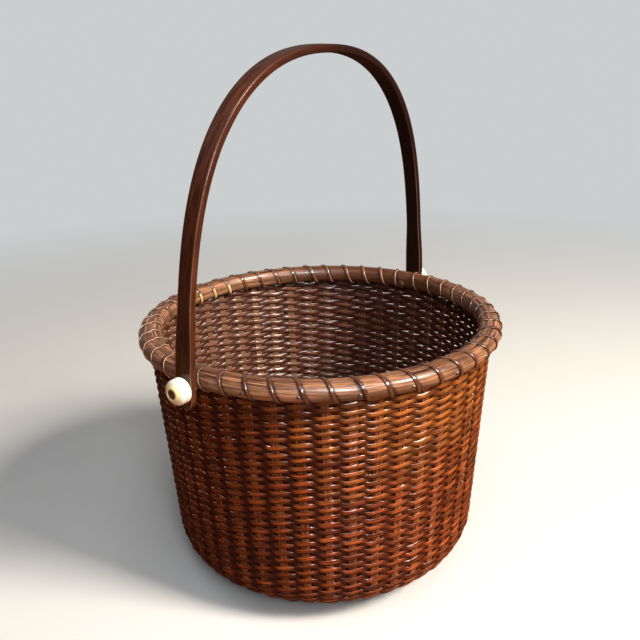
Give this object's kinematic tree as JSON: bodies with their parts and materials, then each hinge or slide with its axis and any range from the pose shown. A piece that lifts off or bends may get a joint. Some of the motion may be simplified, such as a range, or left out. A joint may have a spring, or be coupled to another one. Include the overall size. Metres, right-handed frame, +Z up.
{
  "type": "lidless round woven basket",
  "caption": "Round woven cane basket with a turned wooden base, lashed two-hoop rim and one swinging bail handle on pins with round knobs.",
  "frame": {"origin": "on the floor plane under the centre of the base plate", "axes": "+Z up, X along the two handle pins with the near pin at -X, Y across the handle"},
  "size_m": [0.2702, 0.2404, 0.343],
  "materials": {
    "base_wood": "satin varnish over turned hardwood",
    "stave_wood": "thin varnish over split wood",
    "cane_weave": "aged, varnished split cane",
    "hoop_wood": "glossy varnish over bent half-round wood",
    "lashing_cane": "glossy split cane",
    "handle_wood": "dark polished bent wood, worn at the edges",
    "bone": "polished bone or bone-like material",
    "peg_wood": "dark turned peg"
  },
  "bodies": {
    "basket": {"base_plate": "base_wood", "woven_wall": "cane_weave", "stave_00": "stave_wood", "stave_01": "stave_wood", "stave_02": "stave_wood", "stave_03": "stave_wood", "stave_04": "stave_wood", "stave_05": "stave_wood", "stave_06": "stave_wood", "stave_07": "stave_wood", "stave_08": "stave_wood", "stave_09": "stave_wood", "stave_10": "stave_wood", "stave_11": "stave_wood", "stave_12": "stave_wood", "stave_13": "stave_wood", "stave_14": "stave_wood", "stave_15": "stave_wood", "stave_16": "stave_wood", "stave_17": "stave_wood", "stave_18": "stave_wood", "stave_19": "stave_wood", "stave_20": "stave_wood", "stave_21": "stave_wood", "stave_22": "stave_wood", "stave_23": "stave_wood", "stave_24": "stave_wood", "stave_25": "stave_wood", "stave_26": "stave_wood", "stave_27": "stave_wood", "stave_28": "stave_wood", "stave_29": "stave_wood", "stave_30": "stave_wood", "stave_31": "stave_wood", "stave_32": "stave_wood", "stave_33": "stave_wood", "stave_34": "stave_wood", "stave_35": "stave_wood", "stave_36": "stave_wood", "stave_37": "stave_wood", "stave_38": "stave_wood", "stave_39": "stave_wood", "stave_40": "stave_wood", "stave_41": "stave_wood", "stave_42": "stave_wood", "stave_43": "stave_wood", "stave_44": "stave_wood", "stave_45": "stave_wood", "stave_46": "stave_wood", "outer_hoop": "hoop_wood", "inner_hoop": "hoop_wood", "rim_lashing_right": "lashing_cane", "rim_lashing_left": "lashing_cane", "pin_near": "peg_wood", "pin_far": "peg_wood", "washer_near": "bone", "washer_far": "bone", "knob_near": "bone", "knob_far": "bone"},
    "handle": {"handle": "handle_wood"}
  },
  "joints": [
    {"name": "handle_swing", "type": "hinge", "parent": "basket", "child": "handle", "pos_m": [0, 0, 0.1657], "axis": [1, 0, 0], "range_deg": [-140, 135]}
  ]
}
